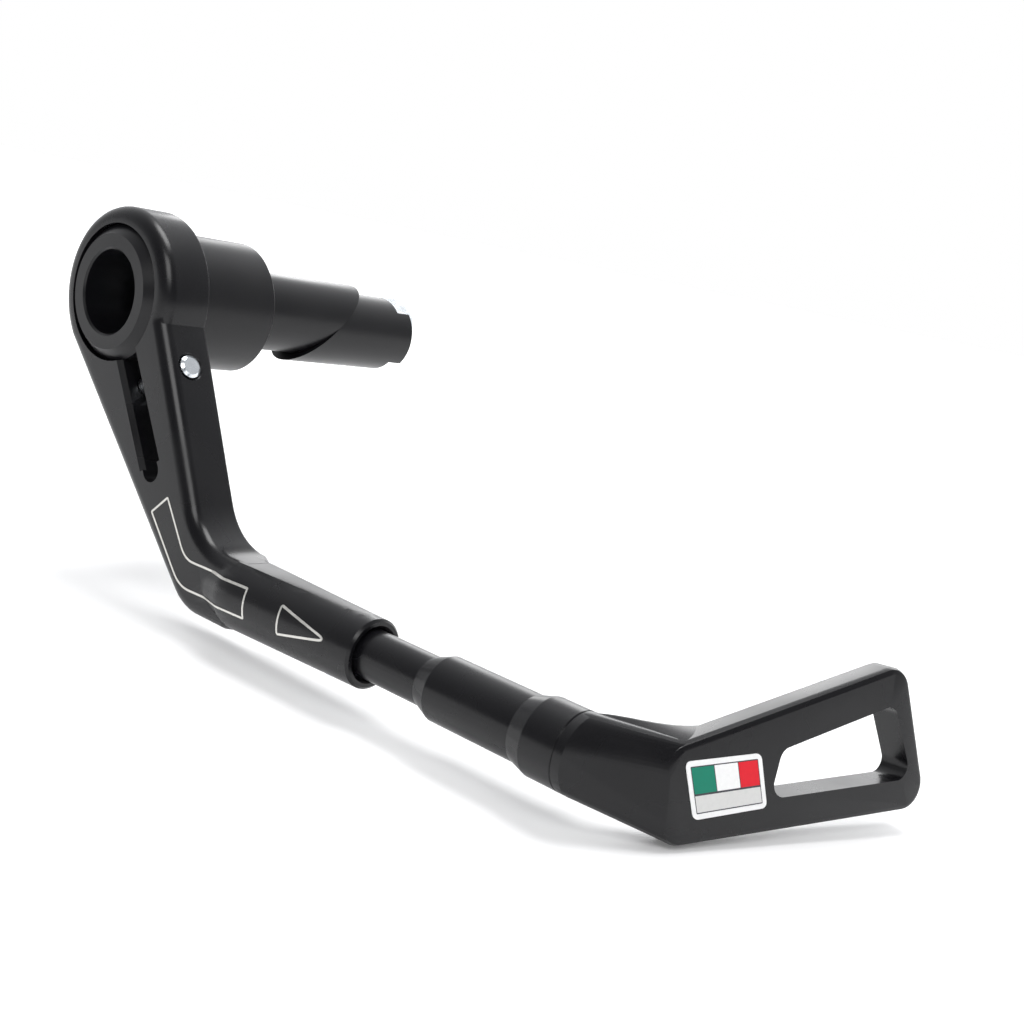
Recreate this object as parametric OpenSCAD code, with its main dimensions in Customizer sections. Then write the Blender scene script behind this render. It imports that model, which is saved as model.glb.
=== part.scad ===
// Brake lever guard: a clamping arm on a bar-end weight, a telescoping rod and a blade.
// Units are millimetres. Origin: axis of the handlebar at the seat face of the weight.
// X runs outboard along the bar axis, Y forward along the rod, Z up.

/* [Show] */
// which sub-part to draw, or all of them

/* [Bar-end weight] */
// outside diameter of the weight
weight_d = 30; // [24:0.5:36]
// length of the weight from its seat face
weight_len = 35.5; // [30:0.5:45]
// chamfer at the outer end of the weight
weight_cham = 2.4; // [0.5:0.1:3]
// chamfer at the seat end of the weight
weight_rear_cham = 1.2; // [0.3:0.1:2]
// diameter of the counterbore for the bolt head
cbore_d = 18.5; // [16.5:0.5:20]
// thickness of the wall the bolt head presses on
weight_wall = 13.5; // [8:0.5:18]
// how far the weight stands out of the ring
weight_proud = 1.1; // [0:0.1:3]

/* [Arm ring and leg] */
// outside diameter of the clamp ring
ring_d = 38; // [36:0.5:46]
// thickness of the ring and the leg along the bar axis
arm_t = 12; // [9:0.5:16]
// rounding of the outer front edge
front_r = 3; // [1:0.5:4]
// rounding of the back edge
back_r = 1; // [0.5:0.25:2]
// running gap between the clamp ring and the weight, on the radius
ring_gap = 0.05; // [0.02:0.01:0.1]
// angle of the lower edge of the leg below the horizontal
low_ang = 41.6; // [35:0.1:48]
// angle of the side face of the leg below the horizontal
side_ang = 61; // [55:0.1:70]
// distance of the side face from the bar axis
side_dist = 14.7; // [13:0.1:16]
// outer radius of the bend
bend_r = 12; // [8:0.5:14]
// radius of the fillet inside the bend
fillet_r = 15; // [10:0.5:18]

/* [Clamp slot and pinch screw] */
// width of the slot
slot_w = 5.2; // [3:0.1:7]
// angle of the slot below the horizontal
slot_ang = 56; // [50:0.5:62]
// distance of the slot end from the bar axis
slot_end = 43.9; // [36:0.1:46]
// chamfer on the front edges of the slot
slot_cham = 1; // [0.3:0.1:1.5]
// diameter of the pinch screw
pinch_d = 5; // [4:0.5:6]
// place of the pinch screw along the side face
pinch_pos = 21.2; // [18:0.1:28]
// radial gap where the pinch screw passes freely
pinch_clear = 0.25; // [0.1:0.05:0.5]
// depth of the pinch screw head below the leg edge
pinch_sink = 1; // [0:0.1:3]

/* [Arm tube] */
// drop of the rod axis below the bar axis
rod_drop = 52.5; // [45:0.5:60]
// offset of the rod axis in front of the middle of the leg
tube_off = 0.6; // [0:0.1:1]
// radius of the tube at the bend
tube_r0 = 7.75; // [7.4:0.05:9]
// radius of the tube at its rim
tube_r1 = 7; // [6.5:0.05:8]
// height of the milled flat above the rod axis
flat_h = 7; // [6.6:0.1:7.5]
// start of the round tube in front of the bar axis
tube_y0 = 54; // [50:0.5:58]
// place of the rim in front of the bar axis
tube_y1 = 92.1; // [80:0.1:110]
// chamfer on the rim of the tube
rim_cham = 0.5; // [0.2:0.1:0.8]
// chamfer in the mouth of the bore
mouth_cham = 0.8; // [0.3:0.1:1]
// depth of the rod bore
bore_depth = 42; // [30:1:46]

/* [Extension rod] */
// diameter of the thin part that slides in the tube
rod_d = 9.8; // [8:0.1:10.5]
// running gap between the rod and its bore, on the radius
rod_gap = 0.05; // [0.02:0.01:0.1]
// length of the thin part inside the tube
rod_in = 26; // [20:1:30]
// length of the thin part that shows
rod_out = 15.3; // [8:0.1:25]
// diameter of the first collar
collar1_d = 12.7; // [11:0.1:14]
// diameter of the second collar
collar2_d = 14.8; // [13:0.1:17]
// length of the cone up to the first collar
cone1_len = 3.8; // [2:0.1:6]
// length of the first collar
collar1_len = 20.2; // [10:0.1:30]
// length of the cone up to the second collar
cone2_len = 3.6; // [2:0.1:6]
// length of the second collar
collar2_len = 7; // [5:0.1:12]

/* [Blade] */
// diameter of the spigot that turns in the rod
spigot_d = 9; // [7:0.1:9.5]
// length of the spigot
spigot_len = 18; // [12:0.5:22]
// thickness of the blade plate
blade_t = 6.5; // [4:0.1:8]
// distance of the front face from the seam
blade_front = 9.7; // [9:0.1:14]
// turn of the blade about the upright axis
blade_yaw = 17.4; // [0:0.1:30]
// lean of the front face
blade_lean = 8.9; // [0:0.1:15]
// rise of the lower edge along the blade
blade_rise = 4.2; // [0:0.1:8]
// reach of the lower corner from the rod axis
blade_reach = 69.75; // [55:0.25:80]
// reach of the upper corner from the rod axis
blade_top_reach = 64.35; // [50:0.25:75]
// height of the upper corner above the rod axis
blade_top = 7.3; // [4:0.1:12]
// drop of the lower corners below the rod axis
blade_drop = 10.5; // [8:0.1:14]
// radius of the corners of the plate
corner_r = 5; // [3:0.1:6]
// rounding of the edges of the plate
edge_r = 1.2; // [0.5:0.1:2]
// radius of the corners of the window
win_r = 2.6; // [1.5:0.1:4]
// rim left between the window and the edges of the plate
win_rim = 6.2; // [4:0.1:8]
// start of the window from the rod axis
win_start = 38.6; // [30:0.1:45]

/* [Expander] */
// diameter of the wedges that sit in the bar
wedge_d = 18.5; // [16:0.1:20]
// diameter of the neck next to the weight
neck_d = 16.6; // [13:0.1:18]
// length of the neck
neck_len = 3; // [1:0.1:5]
// length of the short side of the fixed wedge
wedge_short = 17.5; // [12:0.1:24]
// length of the long side of the fixed wedge
wedge_long = 35; // [28:0.1:44]
// length of the whole expander
wedge_all = 52.8; // [46:0.1:60]
// depth of the slot for the nut
nut_slot = 4.2; // [3:0.1:6]
// how far the moving wedge is slid sideways along the slanted cut
slid = 2.7; // [0:0.1:3]
// extra half length of the bolt hole in the moving wedge
hole_play = 2.4; // [2:0.1:3]

/* [Bolt and nut] */
// thread diameter of the expander bolt
bolt_d = 8; // [6:1:10]
// length of the bolt under its head
bolt_len = 70; // [60:5:90]
// diameter of the bolt head
head_d = 13; // [10:0.5:16]
// diameter of the washer
washer_d = 16; // [14:0.5:18]
// thickness of the washer
washer_t = 1.6; // [1:0.1:2]
// width of the nut across its flats
nut_af = 13; // [10:1:17]
// height of the nut
nut_h = 6.5; // [5:0.1:8]
// radial gap round the bolt
bolt_clear = 0.25; // [0.1:0.05:0.5]

/* [Set screws] */
// diameter of the two set screws
set_d = 4; // [3:1:5]
// distance of the set screw from the rim or the seam
set_pos = 9; // [6:0.5:12]

/* [Hidden] */
$fn = 96;
eps = 0.02;
screw_gap = 0.04;
flat_step = 0.03;
root_step = 0.05;
root_x = 16;
root_top = -2.6;
ring_r = ring_d / 2;
bore_r = weight_d / 2 + ring_gap;
front_x = weight_len - weight_proud;
back_x = front_x - arm_t;
mid_x = front_x - arm_t / 2;
tube_x = mid_x + tube_off;
top_z = -rod_drop + flat_h;
under_z = -rod_drop - tube_r0 + 0.05;
n1 = 180 + 90 - low_ang;
n2 = 90 - side_ang;
seam_y = tube_y1 + rod_out + cone1_len + collar1_len + cone2_len + collar2_len;
head_x = weight_wall + washer_t;
layer_steps = 6;
ring_n = 44;
bend_n = 10;
black = [0.09, 0.09, 0.1];
zinc = [0.75, 0.77, 0.8];

// centre of the outer bend, shifted inwards by e
bend_z = under_z + bend_r;
bend_y = (ring_r - 0.15 - bend_r - sin(n1) * bend_z) / cos(n1);
fil_z = top_z + fillet_r;
fil_y = (side_dist + fillet_r - sin(n2) * fil_z) / cos(n2);
plate_end = tube_y0 + 1.5;
turn_y0 = tube_y0 - 10.6;

// outline of the ring, the leg and the bend in the YZ plane, drawn e inside the true edge
function arc(cy, cz, r, a0, a1, n) =
    [for (i = [0 : n]) [cy + r * cos(a0 + (a1 - a0) * i / n), cz + r * sin(a0 + (a1 - a0) * i / n)]];
function outline(e) = concat(
    arc(0, 0, ring_r - e, n2 - acos((side_dist - e) / (ring_r - e)), n1 - 7, ring_n),
    arc(bend_y, bend_z, bend_r - e, n1, 270, bend_n),
    [[plate_end, under_z + e], [plate_end, top_z - e]],
    arc(fil_y, fil_z, fillet_r + e, 270, n2 + 180, bend_n));

// the flat side of the plate in convex pieces: ring, leg, bend and end, as indices of the outline
function flat_side() = let (b = ring_n + 1, last = ring_n + 2 * bend_n + 4) concat(
    [[for (i = [0 : ring_n]) i], [ring_n, b, last, 0]],
    [for (i = [0 : bend_n - 1]) [b + i, b + i + 1, last - i - 1, last - i]],
    [[b + bend_n, b + bend_n + 1, b + bend_n + 2, last - bend_n]]);

// layers of the plate along X: position and inset of each
function layers() = concat(
    [for (i = [0 : 3]) [back_x + back_r * (1 - cos(i * 30)), back_r * (1 - sin(i * 30))]],
    [for (i = [0 : layer_steps]) let (a = i * 90 / layer_steps)
        [front_x - front_r + front_r * sin(a), front_r * (1 - cos(a))]]);

module plate() {
    lay = layers();
    n = len(outline(0));
    pts = [for (l = lay) for (p = outline(l[1])) [l[0], p[0], p[1]]];
    m = len(lay);
    polyhedron(points = pts, convexity = 8, faces = concat(
        flat_side(),
        [for (f = flat_side()) [for (i = [len(f) - 1 : -1 : 0]) (m - 1) * n + f[i]]],
        [for (k = [0 : m - 2]) for (i = [0 : n - 1]) let (j = (i + 1) % n)
            [k * n + i, (k + 1) * n + j, k * n + j]],
        [for (k = [0 : m - 2]) for (i = [0 : n - 1]) let (j = (i + 1) % n)
            [k * n + i, (k + 1) * n + i, (k + 1) * n + j]]));
}

// a cylinder along Y from y0 to y1 on the rod axis
module along_y(y0, y1, r0, r1) {
    translate([tube_x, y0, -rod_drop]) rotate([-90, 0, 0]) cylinder(h = y1 - y0, r1 = r0, r2 = r1);
}

module along_x(x0, x1, r) {
    translate([x0, 0, 0]) rotate([0, 90, 0]) cylinder(h = x1 - x0, r = r);
}

// the pinch screw axis: Z points out of the side face, zero at the side face
module at_pinch() {
    py = side_dist * cos(n2) + pinch_pos * sin(n2);
    pz = side_dist * sin(n2) - pinch_pos * cos(n2);
    translate([mid_x, py, pz]) rotate([n2 - 90, 0, 0]) children();
}
pinch_span = (ring_r - 0.15 - (side_dist * cos(n2) + pinch_pos * sin(n2)) * cos(n1)
    - (side_dist * sin(n2) - pinch_pos * cos(n2)) * sin(n1)) / -cos(n1 - n2);
pinch_head_h = pinch_d;
pinch_head_r = pinch_d * 0.85;
pinch_under = pinch_span - pinch_sink - pinch_head_h;

module slot_cut() {
    rotate([-slot_ang, 0, 0]) {
        translate([back_x - 1, 0, -slot_w / 2]) cube([arm_t + 2, slot_end - slot_w / 2, slot_w]);
        translate([back_x - 1, slot_end - slot_w / 2, 0]) rotate([0, 90, 0])
            cylinder(h = arm_t + 2, r = slot_w / 2 + 0.06);
        translate([front_x + slot_w / 2, bore_r * 0.9, 0]) rotate([0, 45, 0])
            translate([-(slot_w + slot_cham) / sqrt(2), 0, -(slot_w + slot_cham) / sqrt(2)])
            cube([(slot_w + slot_cham) * sqrt(2), slot_end - slot_w / 2 - bore_r * 0.9 - 0.9,
                (slot_w + slot_cham) * sqrt(2)]);
    }
}

// the turned end of the arm: it grows out of the flat plate as a cone
module tube() {
    translate([tube_x, 0, -rod_drop]) rotate([-90, 0, 0]) rotate_extrude() polygon([
        [0, turn_y0], [arm_t / 2 - tube_off - 0.5, turn_y0], [tube_r0, tube_y0],
        [tube_r1, tube_y1 - rim_cham], [tube_r1 - rim_cham, tube_y1], [0, tube_y1]]);
}

// what the lathe takes off the end of the plate
module turned_off() {
    translate([tube_x, 0, -rod_drop]) rotate([-90, 0, 0]) rotate_extrude() polygon([
        [tube_r0 + 4.6, turn_y0], [tube_r0 - 0.25, tube_y0 + 0.5],
        [tube_r0 - 0.25, plate_end + 2], [tube_r0 + 30, plate_end + 2], [tube_r0 + 30, turn_y0]]);
}

module arm() {
    color(black) difference() {
        union() {
            difference() {
                plate();
                turned_off();
            }
            difference() {
                tube();
                translate([tube_x - 20, turn_y0 - 1, top_z - flat_step]) cube([40, tube_y1, 10]);
            }
        }
        along_x(back_x - 1, front_x + 1, bore_r);
        slot_cut();
        translate([tube_x, 0, -rod_drop]) rotate([-90, 0, 0]) rotate_extrude() polygon([
            [0, tube_y1 - bore_depth], [rod_d / 2 + rod_gap, tube_y1 - bore_depth],
            [rod_d / 2 + rod_gap, tube_y1 - mouth_cham], [rod_d / 2 + rod_gap + mouth_cham, tube_y1],
            [rod_d / 2 + rod_gap + mouth_cham, tube_y1 + 1], [0, tube_y1 + 1]]);
        at_pinch() {
            translate([0, 0, -pinch_span / 2]) cylinder(h = pinch_span, r = pinch_d / 2 + screw_gap);
            translate([0, 0, -0.6]) cylinder(h = 1, r1 = pinch_d / 2, r2 = pinch_d / 2 + 1);
            translate([0, 0, -pinch_under - 1])
                cylinder(h = pinch_under / 2 + 1, r = pinch_d / 2 + pinch_clear);
            translate([0, 0, -pinch_under - 20]) cylinder(h = 20, r = pinch_head_r + pinch_clear);
        }
        translate([tube_x, tube_y1 - set_pos, -rod_drop - 12])
            cylinder(h = 12, r = set_d / 2 + screw_gap);
    }
}

module bar_end_weight() {
    r = weight_d / 2;
    color(black) rotate([0, 90, 0]) rotate_extrude() polygon([
        [bolt_d / 2 + bolt_clear, 0], [r - weight_rear_cham, 0], [r, weight_rear_cham],
        [r, weight_len - weight_cham], [r - weight_cham, weight_len],
        [cbore_d / 2 + 0.4, weight_len], [cbore_d / 2, weight_len - 0.4],
        [cbore_d / 2, weight_wall], [bolt_d / 2 + bolt_clear, weight_wall]]);
}

// half space on the outer side of the slanted cut, shifted by g away from the weight
cut_ang = atan2(wedge_long - wedge_short, wedge_d);
module beyond_cut(g) {
    translate([-(wedge_short + wedge_long) / 2 - g, -30, 0]) rotate([0, -cut_ang, 0])
        translate([-80, 0, -60]) cube([80, 60, 120]);
}

module fixed_wedge() {
    color(black) difference() {
        union() {
            along_x(-neck_len - eps, 0, neck_d / 2);
            difference() {
                along_x(-wedge_long - 1, -neck_len, wedge_d / 2);
                beyond_cut(0);
            }
        }
        along_x(-wedge_long - 2, 1, bolt_d / 2 + bolt_clear);
    }
}

module at_slid() {
    translate([slid * sin(cut_ang), 0, -slid * cos(cut_ang)]) children();
}

module moving_wedge() {
    r = bolt_d / 2 + bolt_clear;
    floor_x = -wedge_all + nut_slot;
    color(black) at_slid() difference() {
        intersection() {
            along_x(-wedge_all, -wedge_short + 2, wedge_d / 2);
            beyond_cut(0.03);
        }
        for (s = [-1, 1]) translate([0, 0, s * hole_play]) along_x(-wedge_all - 1, 0, r);
        translate([-wedge_all - 1, -r, -hole_play]) cube([wedge_all, 2 * r, 2 * hole_play]);
        translate([-wedge_all - 1, -nut_af / 2 - 0.1, -20]) cube([nut_slot + 1, nut_af + 0.2, 40]);
    }
}

module expander_bolt() {
    s = 6 / sqrt(3);
    color(zinc) difference() {
        union() {
            translate([head_x - bolt_len, 0, 0]) rotate([0, 90, 0])
                cylinder(h = 1, r1 = bolt_d / 2 - 0.8, r2 = bolt_d / 2);
            along_x(head_x - bolt_len + 1 - eps, head_x + 1, bolt_d / 2);
            along_x(head_x, head_x + bolt_d - 0.5, head_d / 2);
            translate([head_x + bolt_d - 0.5, 0, 0]) rotate([0, 90, 0])
                cylinder(h = 0.5, r1 = head_d / 2, r2 = head_d / 2 - 0.5);
        }
        translate([head_x + bolt_d - 4, 0, 0]) rotate([0, 90, 0]) cylinder(h = 5, r = s, $fn = 6);
    }
}

module bolt_washer() {
    color(zinc) difference() {
        along_x(weight_wall, head_x, washer_d / 2);
        along_x(weight_wall - 1, head_x + 1, bolt_d / 2 + bolt_clear);
    }
}

module expander_nut() {
    x1 = -wedge_all + nut_slot + slid * sin(cut_ang) - eps;
    color(zinc) difference() {
        intersection() {
            translate([x1 - nut_h, 0, 0]) rotate([0, 90, 0])
                cylinder(h = nut_h, r = nut_af / sqrt(3), $fn = 6);
            translate([x1 - nut_h, 0, 0]) rotate([0, 90, 0])
                cylinder(h = nut_h, r1 = nut_af / 2 + 0.1, r2 = nut_af / 2 + 0.1 + nut_h * 1.7);
        }
        along_x(x1 - nut_h - 1, x1 + 1, bolt_d / 2 + screw_gap);
    }
}

module pinch_screw() {
    color(zinc) at_pinch() difference() {
        union() {
            translate([0, 0, -pinch_under]) cylinder(h = pinch_under, r = pinch_d / 2);
            translate([0, 0, -eps]) cylinder(h = 0.5, r1 = pinch_d / 2, r2 = pinch_d / 2 - 0.6);
            translate([0, 0, -pinch_under - pinch_head_h]) cylinder(h = pinch_head_h, r = pinch_head_r);
        }
        translate([0, 0, -pinch_under - pinch_head_h - 1]) cylinder(h = 3.5, r = 4 / sqrt(3), $fn = 6);
    }
}

// a set screw standing upright under the rod axis, from z0 up to z1
module set_screw(y, z0, z1) {
    color(zinc) translate([tube_x, y, 0]) difference() {
        translate([0, 0, z0]) cylinder(h = z1 - z0, r = set_d / 2);
        translate([0, 0, z0 - 1]) cylinder(h = 2.4, r = 2 / sqrt(3), $fn = 6);
    }
}

module rod_set_screw() {
    set_screw(tube_y1 - set_pos, -rod_drop - tube_r1 - 0.05, -rod_drop - rod_d / 2 - screw_gap);
}

module blade_set_screw() {
    set_screw(seam_y - collar2_len / 2, -rod_drop - collar2_d / 2 + 0.2,
        -rod_drop - spigot_d / 2 - screw_gap);
}

module extension_rod() {
    y0 = tube_y1 - rod_in;
    y1 = tube_y1 + rod_out;
    y2 = y1 + cone1_len;
    y3 = y2 + collar1_len;
    y4 = y3 + cone2_len;
    sr = spigot_d / 2 + rod_gap;
    color(black) difference() {
        translate([tube_x, 0, -rod_drop]) rotate([-90, 0, 0]) rotate_extrude() polygon([
            [0, y0], [rod_d / 2 - 0.5, y0], [rod_d / 2, y0 + 0.5], [rod_d / 2, y1],
            [collar1_d / 2, y2], [collar1_d / 2, y3], [collar2_d / 2, y4],
            [collar2_d / 2, seam_y - 0.2], [collar2_d / 2 - 0.2, seam_y], [sr, seam_y],
            [sr, seam_y - spigot_len - 0.5], [0, seam_y - spigot_len - 0.5]]);
        translate([tube_x, seam_y - collar2_len / 2, -rod_drop - 12])
            cylinder(h = 12, r = set_d / 2 + screw_gap);
    }
}

// frame of the blade: X along the blade, Y out of its front face, Z up
module at_blade() {
    translate([tube_x, seam_y, -rod_drop]) rotate([0, 0, 180 - blade_yaw]) rotate([-blade_lean, 0, 0])
        rotate([0, -blade_rise, 0]) mirror([0, 1, 0]) children();
}

// one rounded corner of the plate
module puck(x, z, inset = 0) {
    r = corner_r - inset;
    t = blade_t - 2 * inset;
    translate([x, blade_front - blade_t + inset, z]) rotate([-90, 0, 0])
        rotate_extrude($fn = 32) polygon([[0, 0], [r - edge_r, 0],
            [r - edge_r * 0.3, edge_r * 0.3], [r, edge_r], [r, t - edge_r],
            [r - edge_r * 0.3, t - edge_r * 0.3], [r - edge_r, t], [0, t]]);
}

module blade() {
    color(black) difference() {
        union() {
            along_y(seam_y - spigot_len, seam_y + 1, spigot_d / 2, spigot_d / 2);
            hull() {
                along_y(seam_y, seam_y + 0.2, collar2_d / 2 - 0.2, collar2_d / 2);
                along_y(seam_y + 0.2, seam_y + 2, collar2_d / 2, collar2_d / 2);
                at_blade() puck(root_x, root_top, root_step);
                at_blade() puck(root_x, -blade_drop, root_step);
            }
            hull() at_blade() {
                puck(root_x, root_top);
                puck(root_x, -blade_drop);
                puck(blade_top_reach, blade_top);
                puck(blade_reach, -blade_drop);
            }
        }
        at_blade() translate([0, blade_front - blade_t - 10, 0]) window();
    }
}

function top_at(x) = blade_top + corner_r
    + (x - blade_top_reach) * (blade_top - root_top) / (blade_top_reach - root_x);
module window() {
    low = -blade_drop - corner_r + win_rim + win_r;
    rotate([-90, 0, 0]) linear_extrude(height = blade_t + 20) hull() {
        translate([win_start, -low]) circle(r = win_r);
        translate([win_start + 1, -(top_at(win_start) - win_rim - 2 * win_r + 1.5)]) circle(r = win_r);
        translate([blade_top_reach - 0.6, -(blade_top - win_rim + 1.2)]) circle(r = win_r);
        translate([blade_reach - win_rim + 3.8, -low]) circle(r = win_r);
    }
}

arm();
bar_end_weight();
fixed_wedge();
moving_wedge();
expander_bolt();
bolt_washer();
expander_nut();
pinch_screw();
rod_set_screw();
extension_rod();
blade_set_screw();
blade();
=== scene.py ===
# %% [markdown]
# # A brake lever guard for the end of a motorbike handlebar
# A milled arm is clamped on a round weight that plugs the handlebar. A turned rod slides in the
# end of the arm and carries a flared blade that keeps the brake lever from being pressed by
# another rider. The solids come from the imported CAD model. Here they get their finishes, the
# engraved outlines, the sticker and the threads, and they are lit as in a white studio.

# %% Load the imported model
import math

import bmesh
import bpy
from mathutils import Matrix, Vector
from mathutils.bvhtree import BVHTree


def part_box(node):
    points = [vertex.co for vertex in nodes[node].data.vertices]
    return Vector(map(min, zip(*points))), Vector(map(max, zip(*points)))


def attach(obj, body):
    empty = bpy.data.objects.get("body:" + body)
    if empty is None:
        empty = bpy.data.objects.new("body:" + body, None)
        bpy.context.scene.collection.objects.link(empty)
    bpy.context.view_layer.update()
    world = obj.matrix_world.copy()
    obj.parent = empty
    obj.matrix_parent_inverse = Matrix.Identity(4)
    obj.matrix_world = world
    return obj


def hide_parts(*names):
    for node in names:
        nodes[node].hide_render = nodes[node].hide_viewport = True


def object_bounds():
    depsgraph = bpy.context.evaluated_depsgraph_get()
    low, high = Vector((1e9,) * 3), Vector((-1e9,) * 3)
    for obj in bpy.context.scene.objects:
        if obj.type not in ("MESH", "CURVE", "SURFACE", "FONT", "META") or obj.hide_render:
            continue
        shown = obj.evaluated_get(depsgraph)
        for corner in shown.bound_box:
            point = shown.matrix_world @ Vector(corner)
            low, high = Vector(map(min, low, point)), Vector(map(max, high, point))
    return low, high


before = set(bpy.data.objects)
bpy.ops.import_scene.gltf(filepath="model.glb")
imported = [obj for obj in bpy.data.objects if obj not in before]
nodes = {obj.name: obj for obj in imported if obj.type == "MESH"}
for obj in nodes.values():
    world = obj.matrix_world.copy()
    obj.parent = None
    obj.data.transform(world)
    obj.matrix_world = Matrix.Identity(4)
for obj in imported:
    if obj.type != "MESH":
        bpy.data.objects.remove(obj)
cad_box = [list(corner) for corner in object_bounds()]
MM = 0.001
print("CAD nodes:", sorted(nodes))
print("CAD box:", [[round(v, 4) for v in corner] for corner in cad_box])

# %% [markdown]
# ## The camera
# The camera stands in front of the outer end of the handlebar and a little above it. Its place
# and its two directions are written in the frame of the part: X runs outboard along the
# handlebar, Y forward along the rod and Z up. The lens is the one that gives the photograph's
# perspective on a square picture.

# %% Camera
CAMERA_PLACE = Vector((0.2213, 0.2719, 0.0268))
LOOK_ALONG = Vector((-0.7680, -0.6156, -0.1767))
PICTURE_RIGHT = Vector((-0.6404, 0.7417, 0.1993))
LENS_MM = 50.76

look = LOOK_ALONG.normalized()
up = PICTURE_RIGHT.cross(look).normalized()
right = look.cross(up)
camera_data = bpy.data.cameras.new("studio_camera")
camera_data.lens = LENS_MM
camera_data.sensor_width = 36
camera_data.clip_start = 0.01
camera = bpy.data.objects.new("studio_camera", camera_data)
bpy.context.scene.collection.objects.link(camera)
turn = Matrix((right, up, -look)).transposed().to_4x4()
camera.matrix_world = Matrix.Translation(CAMERA_PLACE) @ turn
bpy.context.scene.camera = camera
print("camera:", [round(v, 3) for v in CAMERA_PLACE], "lens", LENS_MM)

# %% [markdown]
# ## Small helpers for materials
# Every finish below is a node material. These helpers add a node, set its inputs and join
# sockets, so that each recipe reads as a short list of steps.

# %% Helpers for node materials
def node(tree, kind, **inputs):
    made = tree.nodes.new(kind)
    for name, value in inputs.items():
        made.inputs[name.replace("_", " ")].default_value = value
    return made


def new_material(name):
    material = bpy.data.materials.new(name)
    material.use_nodes = True
    tree = material.node_tree
    shader = tree.nodes["Principled BSDF"]
    place = tree.nodes.new("ShaderNodeTexCoord")
    return material, tree, shader, place


def ramp(tree, source, low, high, at=(0.3, 0.7)):
    made = tree.nodes.new("ShaderNodeMapRange")
    made.inputs["From Min"].default_value = at[0]
    made.inputs["From Max"].default_value = at[1]
    made.inputs["To Min"].default_value = low
    made.inputs["To Max"].default_value = high
    tree.links.new(source, made.inputs["Value"])
    return made.outputs["Result"]


# %% [markdown]
# ## Black anodised aluminium
# The arm, weight, wedges, rod and blade are aluminium with a dyed oxide skin. The skin is
# almost black, slightly rough and even. Under a lens it shows a fine grain, and turned pieces
# also keep the faint rings of the lathe tool. A fine noise gives the grain in the bump, and a
# broad one changes the tint and the roughness in soft clouds. The rings are a wave along the
# axis the piece was turned about. A picture of worn metal would do too, but noise has no seams.

# %% Black anodised finishes
DYE_DARK = (0.0030, 0.0030, 0.0040, 1)
DYE_LIGHT = (0.0060, 0.0058, 0.0070, 1)
GRAIN_SCALE, CLOUD_SCALE, RING_SCALE = 2600.0, 55.0, 900.0
GRAIN_DEPTH = 0.02 * MM


def black_anodised(name, turned_axis=None, roughness=0.27):
    material, tree, shader, place = new_material(name)
    shader.inputs["Specular IOR Level"].default_value = 0.33
    grain = node(tree, "ShaderNodeTexNoise", Scale=GRAIN_SCALE, Detail=3.0)
    cloud = node(tree, "ShaderNodeTexNoise", Scale=CLOUD_SCALE, Detail=4.0)
    for noise in (grain, cloud):
        tree.links.new(place.outputs["Object"], noise.inputs["Vector"])
    tint = tree.nodes.new("ShaderNodeMix")
    tint.data_type = "RGBA"
    tint.inputs[6].default_value = DYE_DARK
    tint.inputs[7].default_value = DYE_LIGHT
    tree.links.new(cloud.outputs["Fac"], tint.inputs[0])
    tree.links.new(tint.outputs[2], shader.inputs["Base Color"])
    smear = ramp(tree, cloud.outputs["Fac"], roughness - 0.05, roughness + 0.06)
    tree.links.new(smear, shader.inputs["Roughness"])
    height = grain.outputs["Fac"]
    if turned_axis:
        rings = node(tree, "ShaderNodeTexWave", Scale=RING_SCALE, Distortion=0.4, Detail=1.0)
        rings.wave_type = "BANDS"
        rings.bands_direction = turned_axis
        tree.links.new(place.outputs["Object"], rings.inputs["Vector"])
        both = tree.nodes.new("ShaderNodeMath")
        both.operation = "ADD"
        tree.links.new(grain.outputs["Fac"], both.inputs[0])
        tree.links.new(rings.outputs["Fac"], both.inputs[1])
        height = both.outputs["Value"]
    bump = node(tree, "ShaderNodeBump", Strength=0.12, Distance=GRAIN_DEPTH)
    tree.links.new(height, bump.inputs["Height"])
    tree.links.new(bump.outputs["Normal"], shader.inputs["Normal"])
    return material


milled_black = black_anodised("milled_black_anodised")
turned_black_x = black_anodised("turned_black_anodised_bar", "X", 0.32)
turned_black_y = black_anodised("turned_black_anodised_rod", "Y", 0.27)
print("black finishes:", milled_black.name, turned_black_x.name, turned_black_y.name)

# %% [markdown]
# ## Zinc plated steel and bare aluminium
# The nut, the screws and the washer are steel with a bright, slightly blue zinc plating. The
# plating is metal, so the shader is metallic, and its roughness changes in soft patches. The
# engraved lines were cut through the black skin, so bare aluminium shows in them.

# %% Bright metals
PLATING_DEPTH = 0.03 * MM


def bright_metal(name, dark, light, roughness, patch_scale):
    material, tree, shader, place = new_material(name)
    shader.inputs["Metallic"].default_value = 1.0
    patches = node(tree, "ShaderNodeTexNoise", Scale=patch_scale, Detail=5.0)
    tree.links.new(place.outputs["Object"], patches.inputs["Vector"])
    tint = tree.nodes.new("ShaderNodeMix")
    tint.data_type = "RGBA"
    tint.inputs[6].default_value = (*dark, 1)
    tint.inputs[7].default_value = (*light, 1)
    tree.links.new(patches.outputs["Fac"], tint.inputs[0])
    tree.links.new(tint.outputs[2], shader.inputs["Base Color"])
    smear = ramp(tree, patches.outputs["Fac"], roughness - 0.07, roughness + 0.1)
    tree.links.new(smear, shader.inputs["Roughness"])
    bump = node(tree, "ShaderNodeBump", Strength=0.2, Distance=PLATING_DEPTH)
    tree.links.new(patches.outputs["Fac"], bump.inputs["Height"])
    tree.links.new(bump.outputs["Normal"], shader.inputs["Normal"])
    return material


zinc = bright_metal("zinc_plated_steel", (0.62, 0.66, 0.70), (0.80, 0.83, 0.86), 0.24, 420.0)
bare = bright_metal("bare_cut_aluminium", (0.60, 0.59, 0.56), (0.80, 0.79, 0.75), 0.5, 900.0)

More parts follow.
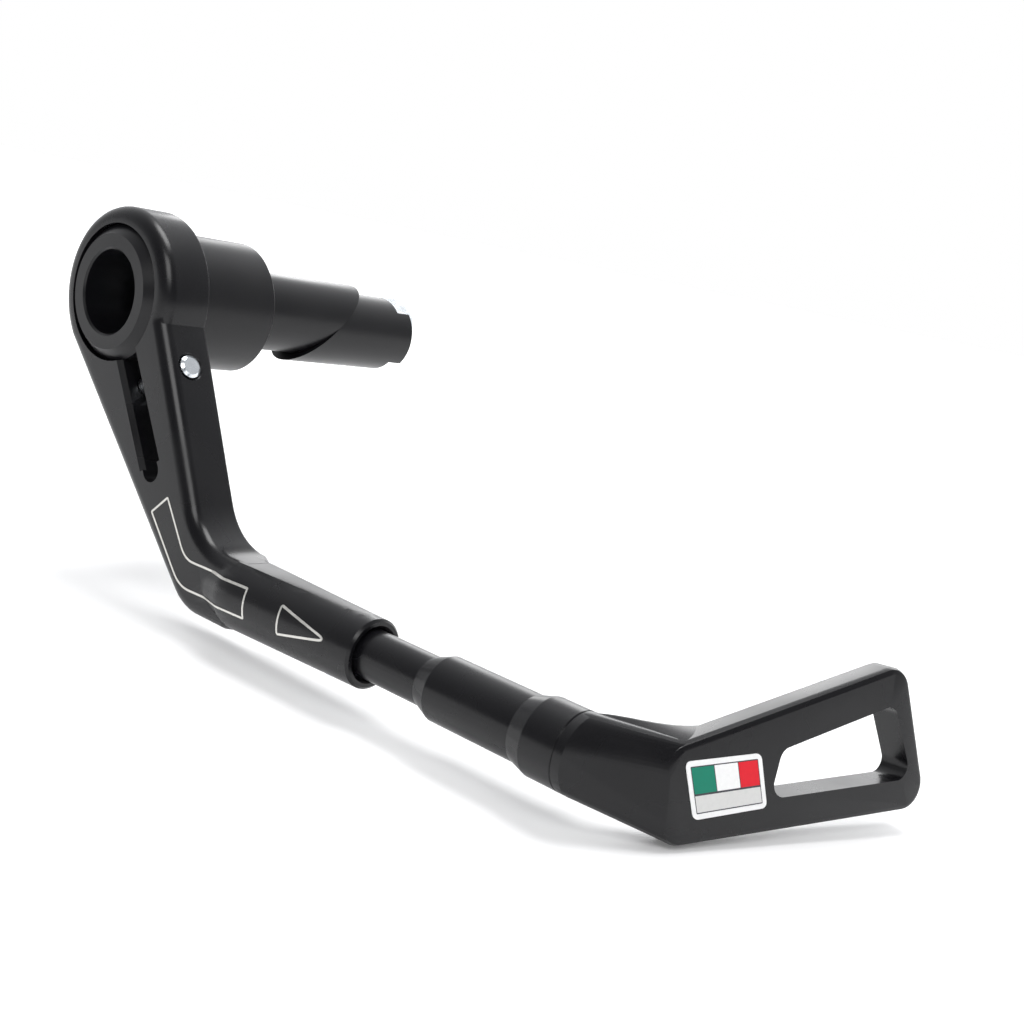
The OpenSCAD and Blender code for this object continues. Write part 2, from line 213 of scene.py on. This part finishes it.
# %% [markdown]
# ## Finishes on the CAD solids
# The solids already have the real shapes, so the turned ones stay as they are and only get
# their finish. Everything that was turned about the handlebar axis has its tool rings along X,
# and the rod has them along Y.

# %% Give the turned solids and the fasteners their finish
FINISH_OF = {
    "bar_end_weight": turned_black_x,
    "fixed_wedge": turned_black_x,
    "moving_wedge": turned_black_x,
    "extension_rod": turned_black_y,
}
for name, solid in nodes.items():
    solid.data.materials.clear()
    solid.data.materials.append(FINISH_OF.get(name, zinc))
print("finished solids:", len(nodes))

# %% [markdown]
# ## Soft roundings on the two milled pieces
# The arm and the blade are milled, and a milled rounding runs into the flat beside it without a
# visible facet. Their solids come as loose triangles, so a copy of each is merged at its
# doubles and shaded smooth. Edges that turn sharply stay sharp, and the Weighted Normal
# modifier lets the large flats win over the narrow strips of the roundings.

# %% Smooth copies of the arm and the blade
SMOOTH_UNDER = math.radians(26)
MERGE_WITHIN = 0.002 * MM
FLATS_WEIGHT = 60


def milled_copy(name, body):
    mesh = nodes[name].data.copy()
    if mesh.attributes.get("custom_normal"):
        mesh.attributes.remove(mesh.attributes["custom_normal"])
    work = bmesh.new()
    work.from_mesh(mesh)
    bmesh.ops.remove_doubles(work, verts=work.verts, dist=MERGE_WITHIN)
    for face in work.faces:
        face.smooth = True
    for edge in work.edges:
        if len(edge.link_faces) == 2:
            edge.smooth = edge.calc_face_angle(0.0) < SMOOTH_UNDER
    work.to_mesh(mesh)
    work.free()
    mesh.materials.clear()
    mesh.materials.append(milled_black)
    made = bpy.data.objects.new("milled_" + name, mesh)
    bpy.context.scene.collection.objects.link(made)
    weighted = made.modifiers.new("flats_win", "WEIGHTED_NORMAL")
    weighted.keep_sharp = True
    weighted.weight = FLATS_WEIGHT
    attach(made, body)
    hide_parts(name)
    print(made.name, len(mesh.polygons), "faces")
    return made


milled_arm = milled_copy("arm", "arm")
milled_blade = milled_copy("blade", "blade")

# %% [markdown]
# ## The blade's own directions and its root
# The blade is turned and leans a little, so what sits on it is drawn in the blade's own
# directions and then carried over into the frame of the part. Where the blade grows out of its
# round collar, its upper side sweeps down in a hollow curve before it rises along the window.
# The solid goes there in straight lines, so a lofted fillet fills the corner: rounded sections
# stand along the blade, and their upper corners follow the hollow curve.

# %% The blade's own directions
SEAM_PLACE = Vector((29.0, 142.0, -52.5)) * MM
YAW, LEAN, RISE = 17.4, 8.9, 4.2
blade_turn = (Matrix.Rotation(math.radians(180 - YAW), 3, "Z")
              @ Matrix.Rotation(math.radians(-LEAN), 3, "X")
              @ Matrix.Rotation(math.radians(-RISE), 3, "Y")
              @ Matrix.Diagonal((1, -1, 1)))

# %% Fillet at the blade's root
# Each station: place along the blade, its back and front, its upper back and upper front edge.
ROOT_STATIONS = [(0.6, 0.5, 1.6, 7.2, 6.9), (4.0, 1.3, 4.4, 7.1, 4.9),
                 (8.0, 2.0, 7.0, 6.4, 3.0), (12.0, 2.6, 9.0, 5.5, 2.1),
                 (16.0, 3.1, 9.6, 4.7, 2.1), (20.0, 3.25, 9.66, 4.1, 2.4),
                 (24.0, 3.25, 9.66, 3.8, 2.6), (28.0, 3.25, 9.66, 3.6, 2.7),
                 (33.0, 3.25, 9.66, 3.5, 2.7)]
ROOT_LOW = -3.0
ROOT_ROUNDING = 1.2
SECTIONS_BETWEEN = 5
ARC_STEPS = 6


def curved(before, here, after, later, t):
    """A value on the smooth curve through the four given ones, t of the way from here to after."""
    bend = 2 * before - 5 * here + 4 * after - later
    turn_back = -before + 3 * here - 3 * after + later
    return 0.5 * (2 * here + (after - before) * t + bend * t * t + turn_back * t ** 3)


def soft_corner(start, corner, end):
    """Points of an arc that replaces a corner."""
    for step in range(ARC_STEPS + 1):
        t = step / ARC_STEPS
        yield (1 - t) ** 2 * start + 2 * t * (1 - t) * corner + t * t * end


def root_section(x, back, front, high_back, high_front):
    upper_back, upper_front = Vector((back, high_back)), Vector((front, high_front))
    along = (upper_front - upper_back).normalized()
    reach = min(ROOT_ROUNDING, (front - back) * 0.4)
    down = Vector((0, -reach))
    outline = [Vector((back, ROOT_LOW))]
    outline += soft_corner(upper_back + down, upper_back, upper_back + along * reach)
    outline += soft_corner(upper_front - along * reach, upper_front, upper_front + down)
    outline += [Vector((front, ROOT_LOW))]
    return [SEAM_PLACE + blade_turn @ (Vector((x, *point)) * MM) for point in outline]


sections = []
last = len(ROOT_STATIONS) - 1
for index in range(last):
    near = [ROOT_STATIONS[min(last, max(0, index + k))] for k in (-1, 0, 1, 2)]
    for step in range(SECTIONS_BETWEEN):
        sections.append([curved(*values, step / SECTIONS_BETWEEN) for values in zip(*near)])
sections.append(ROOT_STATIONS[last])
work = bmesh.new()
rings = [[work.verts.new(place) for place in root_section(*section)] for section in sections]
around = len(rings[0])
for here, after in zip(rings, rings[1:]):
    for k in range(around):
        j = (k + 1) % around
        work.faces.new((here[k], here[j], after[j], after[k]))
work.faces.new(rings[0][::-1])
work.faces.new(rings[-1])
bmesh.ops.recalc_face_normals(work, faces=work.faces)
for face in work.faces:
    face.smooth = True
for edge in work.edges:
    edge.smooth = edge.calc_face_angle(0.0) < SMOOTH_UNDER
root_mesh = bpy.data.meshes.new("root_fillet")
work.to_mesh(root_mesh)
work.free()
root_mesh.materials.append(milled_black)
root_fillet = bpy.data.objects.new("root_fillet", root_mesh)
bpy.context.scene.collection.objects.link(root_fillet)
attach(root_fillet, "blade")
print("root fillet:", len(root_mesh.polygons), "faces")

# %% [markdown]
# ## The engraved outlines on the arm
# A cutter drew a bent strip and a pointed triangle on the outer side of the arm. The lines are
# about half a millimetre wide and follow the flat leg and then the round tube. Each corner of
# the drawing is rounded by a short arc. Both edges of the line are then dropped onto the arm
# along the X axis, so that the ribbon hugs the metal wherever the surface bends.

# %% Drop the engraved lines onto the arm
LINE_WIDTH = 0.46 * MM
LINE_LIFT = 0.02 * MM
LINE_STEP = 0.6 * MM
LINE_DEPTH = 0.12 * MM
NEIGHBOUR = 0.4 * MM
OUTBOARD = 100 * MM
CORNER_STEPS = 8
STRIP = [(30.4, -38.4, 0.3), (39.2, -49.3, 6.0), (61.3, -48.7, 0.3),
         (62.2, -54.6, 0.3), (38.7, -55.3, 8.0), (25.8, -42.7, 0.3)]
TRIANGLE = [(71.8, -48.8, 0.3), (86.2, -51.3, 0.6), (72.4, -54.4, 0.3)]


def rounded_loop(corners):
    """Points (y, z) in metres of a closed outline whose corners are arcs of the given radius."""
    points = []
    count = len(corners)
    for index in range(count):
        before = Vector(corners[index - 1][:2])
        here = Vector(corners[index][:2])
        after = Vector(corners[(index + 1) % count][:2])
        radius = corners[index][2]
        to_before = (before - here).normalized()
        to_after = (after - here).normalized()
        half = to_before.angle(to_after) / 2
        start = here + to_before * radius / math.tan(half)
        end = here + to_after * radius / math.tan(half)
        for step in range(CORNER_STEPS + 1):
            t = step / CORNER_STEPS
            points.append(((1 - t) ** 2 * start + 2 * t * (1 - t) * here + t * t * end) * MM)
    return points


def resampled(points, step):
    result = []
    for index, point in enumerate(points):
        other = points[(index + 1) % len(points)]
        pieces = max(1, round((other - point).length / step))
        result += [point.lerp(other, k / pieces) for k in range(pieces)]
    return result


arm_tree = BVHTree.FromObject(milled_arm, bpy.context.evaluated_depsgraph_get())


def on_arm(y, z):
    """The point of the arm's outer side at (y, z), or of its highest near neighbour."""
    inboard = Vector((-1, 0, 0))
    tops = [arm_tree.ray_cast(Vector((OUTBOARD, y + dy, z)), inboard)[0].x
            for dy in (-NEIGHBOUR, 0, NEIGHBOUR)]
    return Vector((max(tops) + LINE_LIFT, y, z))


def engraved_line(name, corners):
    loop = resampled(rounded_loop(corners), LINE_STEP)
    count = len(loop)
    work = bmesh.new()
    rails = []
    for index in range(count):
        along = (loop[(index + 1) % count] - loop[index - 1]).normalized()
        across = Vector((-along.y, along.x)) * LINE_WIDTH / 2
        left = loop[index] + across
        right_side = loop[index] - across
        row = [on_arm(left.x, left.y), on_arm(right_side.x, right_side.y)]
        sunk = [point - Vector((LINE_DEPTH, 0, 0)) for point in row]
        rails.append([work.verts.new(p) for p in (sunk[0], row[0], row[1], sunk[1])])
    for index in range(count):
        here, after = rails[index], rails[(index + 1) % count]
        for k in range(4):
            work.faces.new((here[k], after[k], after[(k + 1) % 4], here[(k + 1) % 4]))
    bmesh.ops.recalc_face_normals(work, faces=work.faces)
    mesh = bpy.data.meshes.new(name)
    work.to_mesh(mesh)
    work.free()
    mesh.materials.append(bare)
    made = bpy.data.objects.new(name, mesh)
    bpy.context.scene.collection.objects.link(made)
    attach(made, "arm")
    return made


for name, corners in (("engraved_strip", STRIP), ("engraved_triangle", TRIANGLE)):
    made = engraved_line(name, corners)
    print(name, len(made.data.polygons), "faces")

# %% [markdown]
# ## The sticker on the blade
# A small vinyl sticker with rounded corners sits on the front face of the blade next to the
# window. It has a white ground, three bands of colour, a thin dark frame and a plain silver
# strip below.

# %% Places on the blade's front face
BLADE_FACE = 9.7 * MM


def on_blade(x, z, lift):
    """A point on the blade's front face: x along the blade, z up, lift out of the face."""
    return SEAM_PLACE + blade_turn @ Vector((x, BLADE_FACE + lift, z))


# %% Coloured films
def film(name, colour, roughness=0.32, metallic=0.0):
    material, tree, shader, place = new_material(name)
    shader.inputs["Metallic"].default_value = metallic
    shader.inputs["Specular IOR Level"].default_value = 0.22
    speckle = node(tree, "ShaderNodeTexNoise", Scale=1500.0, Detail=2.0)
    tree.links.new(place.outputs["Object"], speckle.inputs["Vector"])
    tint = tree.nodes.new("ShaderNodeMix")
    tint.data_type = "RGBA"
    tint.inputs[6].default_value = (*[c * 0.93 for c in colour], 1)
    tint.inputs[7].default_value = (*[min(1, c * 1.05) for c in colour], 1)
    tree.links.new(speckle.outputs["Fac"], tint.inputs[0])
    tree.links.new(tint.outputs[2], shader.inputs["Base Color"])
    tree.links.new(ramp(tree, speckle.outputs["Fac"], roughness - 0.04, roughness + 0.04),
                   shader.inputs["Roughness"])
    return material


white_film = film("white_vinyl", (0.88, 0.88, 0.88))
green_film = film("green_vinyl", (0.004, 0.205, 0.130))
red_film = film("red_vinyl", (0.72, 0.008, 0.022))
dark_film = film("dark_frame_ink", (0.05, 0.05, 0.06))
silver_film = film("silver_vinyl", (0.66, 0.66, 0.65), 0.38, 0.2)

# %% Build the sticker
STICKER_CORNERS = {"top_left": (15.2, -0.6), "top_right": (32.3, -0.7),
                   "low_right": (34.6, -10.7), "low_left": (17.8, -11.0)}
FILM = 0.12 * MM
INK = 0.015 * MM
SUNK = 0.02 * MM
WIDE_TO_HIGH = 1.65
ROUND_STEPS = 6


def in_sticker(u, v):
    """u runs from the left edge to the right one, v from the top down, both from 0 to 1."""
    top = Vector(STICKER_CORNERS["top_left"]).lerp(Vector(STICKER_CORNERS["top_right"]), u)
    low = Vector(STICKER_CORNERS["low_left"]).lerp(Vector(STICKER_CORNERS["low_right"]), u)
    return top.lerp(low, v) * MM


def film_patch(name, box, corner, lift, material, thickness=FILM):
    """A thin film with rounded corners; box is (u0, v0, u1, v1) on the sticker."""
    u0, v0, u1, v1 = box
    tall = corner * WIDE_TO_HIGH
    outline = []
    for cu, cv, start in ((u1, v0, 270), (u1, v1, 0), (u0, v1, 90), (u0, v0, 180)):
        inner_u = cu - math.copysign(corner, cu - (u0 + u1) / 2)
        inner_v = cv - math.copysign(tall, cv - (v0 + v1) / 2)
        for step in range(ROUND_STEPS + 1):
            a = math.radians(start + 90 * step / ROUND_STEPS)
            outline.append((inner_u + corner * math.cos(a), inner_v + tall * math.sin(a)))
    work = bmesh.new()
    places = [in_sticker(u, v) for u, v in outline]
    top = [work.verts.new(on_blade(p.x, p.y, lift + thickness)) for p in places]
    low = [work.verts.new(on_blade(p.x, p.y, lift - SUNK)) for p in places]
    work.faces.new(top)
    work.faces.new(low[::-1])
    for k in range(len(top)):
        j = (k + 1) % len(top)
        work.faces.new((top[j], top[k], low[k], low[j]))
    bmesh.ops.recalc_face_normals(work, faces=work.faces)
    mesh = bpy.data.meshes.new(name)
    work.to_mesh(mesh)
    work.free()
    mesh.materials.append(material)
    made = bpy.data.objects.new(name, mesh)
    bpy.context.scene.collection.objects.link(made)
    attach(made, "blade")
    return made


film_patch("sticker_ground", (0.0, 0.0, 1.0, 1.0), 0.07, 0.0, white_film)
film_patch("sticker_frame", (0.055, 0.095, 0.945, 0.905), 0.012, FILM, dark_film, INK)
BANDS = (("band_green", green_film, 0.065, 0.352), ("band_white", white_film, 0.362, 0.668),
         ("band_red", red_film, 0.678, 0.935))
for name, material, u0, u1 in BANDS:
    film_patch(name, (u0, 0.115, u1, 0.565), 0.004, FILM + INK, material, INK)
film_patch("sticker_strip", (0.065, 0.60, 0.935, 0.885), 0.004, FILM + INK, silver_film, INK)
print("sticker built on the blade")

# %% [markdown]
# ## Threads, made with Geometry Nodes
# The expander bolt ends in a metric thread that shows just past the nut, and the pinch screw
# shows its thread inside the slot of the arm. A thread is a ridge that follows a helix, so it
# suits Geometry Nodes: a spiral curve carries a small three-cornered profile. The tree has
# named inputs for the radius, pitch and length, and it is used for both screws.

# %% The thread tree
TURN_STEPS = 28
RIDGE_TO_PITCH = 0.42


def thread_tree():
    tree = bpy.data.node_groups.new("screw_thread", "GeometryNodeTree")
    face = tree.interface
    sockets = {}
    for name, value in (("Radius", 0.004), ("Pitch", 0.00125), ("Length", 0.004)):
        sockets[name] = face.new_socket(name, in_out="INPUT", socket_type="NodeSocketFloat")
        sockets[name].default_value = value
    sockets["Finish"] = face.new_socket("Finish", in_out="INPUT", socket_type="NodeSocketMaterial")
    face.new_socket("Thread", in_out="OUTPUT", socket_type="NodeSocketGeometry")
    enter = tree.nodes.new("NodeGroupInput")
    leave = tree.nodes.new("NodeGroupOutput")
    turns = tree.nodes.new("ShaderNodeMath")
    turns.operation = "DIVIDE"
    spiral = tree.nodes.new("GeometryNodeCurveSpiral")
    spiral.inputs["Resolution"].default_value = TURN_STEPS
    ridge = tree.nodes.new("GeometryNodeCurvePrimitiveCircle")
    ridge.inputs["Resolution"].default_value = 3
    width = tree.nodes.new("ShaderNodeMath")
    width.operation = "MULTIPLY"
    width.inputs[1].default_value = RIDGE_TO_PITCH
    sweep = tree.nodes.new("GeometryNodeCurveToMesh")
    sweep.inputs["Fill Caps"].default_value = True
    real = tree.nodes.new("GeometryNodeRealizeInstances")
    paint = tree.nodes.new("GeometryNodeSetMaterial")
    link = tree.links.new
    link(enter.outputs["Length"], turns.inputs[0])
    link(enter.outputs["Pitch"], turns.inputs[1])
    link(turns.outputs[0], spiral.inputs["Rotations"])
    link(enter.outputs["Radius"], spiral.inputs["Start Radius"])
    link(enter.outputs["Radius"], spiral.inputs["End Radius"])
    link(enter.outputs["Length"], spiral.inputs["Height"])
    link(enter.outputs["Pitch"], width.inputs[0])
    link(width.outputs[0], ridge.inputs["Radius"])
    link(spiral.outputs["Curve"], sweep.inputs["Curve"])
    link(ridge.outputs["Curve"], sweep.inputs["Profile Curve"])
    link(sweep.outputs["Mesh"], real.inputs["Geometry"])
    link(real.outputs["Geometry"], paint.inputs["Geometry"])
    link(enter.outputs["Finish"], paint.inputs["Material"])
    link(paint.outputs["Geometry"], leave.inputs["Thread"])
    return tree, {name: socket.identifier for name, socket in sockets.items()}


THREAD_TREE, SOCKET_OF = thread_tree()
print("thread tree inputs:", sorted(SOCKET_OF))


# %% A thread on a screw
def thread(name, place, direction, radius, pitch, length, body):
    holder = bpy.data.objects.new(name + "_tree", bpy.data.meshes.new(name + "_tree"))
    bpy.context.scene.collection.objects.link(holder)
    modifier = holder.modifiers.new("thread", "NODES")
    modifier.node_group = THREAD_TREE
    sizes = {"Radius": radius, "Pitch": pitch, "Length": length, "Finish": zinc}
    for socket, value in sizes.items():
        modifier[SOCKET_OF[socket]] = value
    bpy.context.view_layer.update()
    evaluated = holder.evaluated_get(bpy.context.evaluated_depsgraph_get())
    mesh = bpy.data.meshes.new_from_object(evaluated)
    bpy.data.objects.remove(holder)
    turned = direction.to_track_quat("Z", "Y").to_matrix().to_4x4()
    mesh.transform(Matrix.Translation(place) @ turned)
    made = bpy.data.objects.new(name, mesh)
    bpy.context.scene.collection.objects.link(made)
    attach(made, body)
    print(name, len(mesh.polygons), "faces")
    return made


# %% Cut the two threads
BOLT_R, BOLT_PITCH, BOLT_LENGTH = 3.86 * MM, 1.25 * MM, 20 * MM
BOLT_CHAMFER = 0.9 * MM
bolt_start = Vector((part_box("expander_bolt")[0].x + BOLT_CHAMFER, 0, 0))
thread("bolt_thread", bolt_start, Vector((1, 0, 0)), BOLT_R, BOLT_PITCH, BOLT_LENGTH, "clamp")

PINCH_R, PINCH_PITCH, PINCH_LENGTH = 2.38 * MM, 0.8 * MM, 5 * MM
PINCH_TILT = math.radians(29)
PINCH_HEAD = Vector((28.4, 23.1, -11.4)) * MM
HEAD_TO_THREAD = 13.5 * MM
screw_out = Vector((0, math.cos(PINCH_TILT), math.sin(PINCH_TILT)))
pinch_start = PINCH_HEAD - screw_out * HEAD_TO_THREAD
thread("pinch_thread", pinch_start, screw_out, PINCH_R, PINCH_PITCH, PINCH_LENGTH, "arm")

# %% [markdown]
# ## The floor
# The product was shot on white. A broad pale floor lies just under the lowest point of the
# part and catches its soft shadows. Farther out the floor glows a little, so that it melts
# into the white behind it, as a curved studio backdrop would.

# %% Pale floor
FLOOR_HALF = 30.0
FLOOR_GAP = 0.2 * MM
floor_z = cad_box[0][2] - FLOOR_GAP
floor_mesh = bpy.data.meshes.new("studio_floor")
corners = [(-FLOOR_HALF, -FLOOR_HALF), (FLOOR_HALF, -FLOOR_HALF),
           (FLOOR_HALF, FLOOR_HALF), (-FLOOR_HALF, FLOOR_HALF)]
floor_mesh.from_pydata([(x, y, floor_z) for x, y in corners], [], [(0, 1, 2, 3)])
floor = bpy.data.objects.new("studio_floor", floor_mesh)
bpy.context.scene.collection.objects.link(floor)
floor_material, floor_tree, floor_shader, floor_place = new_material("pale_floor")
mottle = node(floor_tree, "ShaderNodeTexNoise", Scale=4.0, Detail=2.0)
floor_tree.links.new(floor_place.outputs["Object"], mottle.inputs["Vector"])
floor_tone = floor_tree.nodes.new("ShaderNodeMix")
floor_tone.data_type = "RGBA"
floor_tone.inputs[6].default_value = (0.90, 0.90, 0.905, 1)
floor_tone.inputs[7].default_value = (0.93, 0.93, 0.93, 1)
floor_tree.links.new(mottle.outputs["Fac"], floor_tone.inputs[0])
floor_tree.links.new(floor_tone.outputs[2], floor_shader.inputs["Base Color"])
floor_shader.inputs["Roughness"].default_value = 0.7
floor_shader.inputs["Specular IOR Level"].default_value = 0.2
floor_shader.inputs["Emission Color"].default_value = (1, 1, 1, 1)
distance = floor_tree.nodes.new("ShaderNodeVectorMath")
distance.operation = "LENGTH"
floor_tree.links.new(floor_place.outputs["Object"], distance.inputs[0])
floor_tree.links.new(ramp(floor_tree, distance.outputs["Value"], 0.13, 0.8, (0.2, 1.0)),
                     floor_shader.inputs["Emission Strength"])
floor_mesh.materials.append(floor_material)
print("floor at", round(floor_z, 4))

# %% [markdown]
# ## The surrounding and the lamps
# The camera sees pure white behind the part. What the metal mirrors is softer: bright on the
# far side, where a white wall stands, and dim on the side of the camera, where the room is
# dark. That is what keeps black metal black and lets its edges light up. A large lamp hangs
# above, and a smaller one above the camera draws the bright streaks along the roundings.

# %% White surrounding with a dim side
FAR_SIDE = (-0.77, -0.62, 0.15)
world = bpy.data.worlds.new("white_surrounding")
world.use_nodes = True
sky = world.node_tree
mirrored = sky.nodes["Background"]
seen = sky.nodes.new("ShaderNodeBackground")
seen.inputs["Strength"].default_value = 1.0
seen.inputs["Color"].default_value = (1, 1, 1, 1)
mirrored.inputs["Color"].default_value = (0.97, 0.98, 1.0, 1)
direction = sky.nodes.new("ShaderNodeTexCoord")
towards = sky.nodes.new("ShaderNodeVectorMath")
towards.operation = "DOT_PRODUCT"
towards.inputs[1].default_value = FAR_SIDE
sky.links.new(direction.outputs["Generated"], towards.inputs[0])
sky.links.new(ramp(sky, towards.outputs["Value"], 0.22, 1.0, (-0.3, 0.7)),
              mirrored.inputs["Strength"])
path = sky.nodes.new("ShaderNodeLightPath")
choose = sky.nodes.new("ShaderNodeMixShader")
sky.links.new(path.outputs["Is Camera Ray"], choose.inputs[0])
sky.links.new(mirrored.outputs[0], choose.inputs[1])
sky.links.new(seen.outputs[0], choose.inputs[2])
sky.links.new(choose.outputs[0], sky.nodes["World Output"].inputs["Surface"])
bpy.context.scene.world = world
bpy.context.scene.view_settings.view_transform = "Standard"
print("surrounding ready")


# %% Soft lamps
def soft_lamp(name, place, target, size, watts):
    data = bpy.data.lights.new(name, "AREA")
    data.shape = "RECTANGLE"
    data.size, data.size_y = size
    data.energy = watts
    made = bpy.data.objects.new(name, data)
    bpy.context.scene.collection.objects.link(made)
    aim = Vector(target) - Vector(place)
    turned = aim.to_track_quat("-Z", "Y").to_matrix().to_4x4()
    made.matrix_world = Matrix.Translation(place) @ turned
    print(name, "at", [round(v, 2) for v in place], watts, "W")
    return made


MIDDLE = (0.0, 0.07, -0.03)
soft_lamp("overhead_lamp", (-0.10, 0.04, 0.80), MIDDLE, (0.45, 0.4), 5.0)
soft_lamp("lamp_above_camera", (0.50, 0.62, 0.62), MIDDLE, (0.5, 0.5), 4.2)
soft_lamp("far_side_lamp", (-0.75, -0.35, 0.32), MIDDLE, (0.8, 0.35), 2.6)
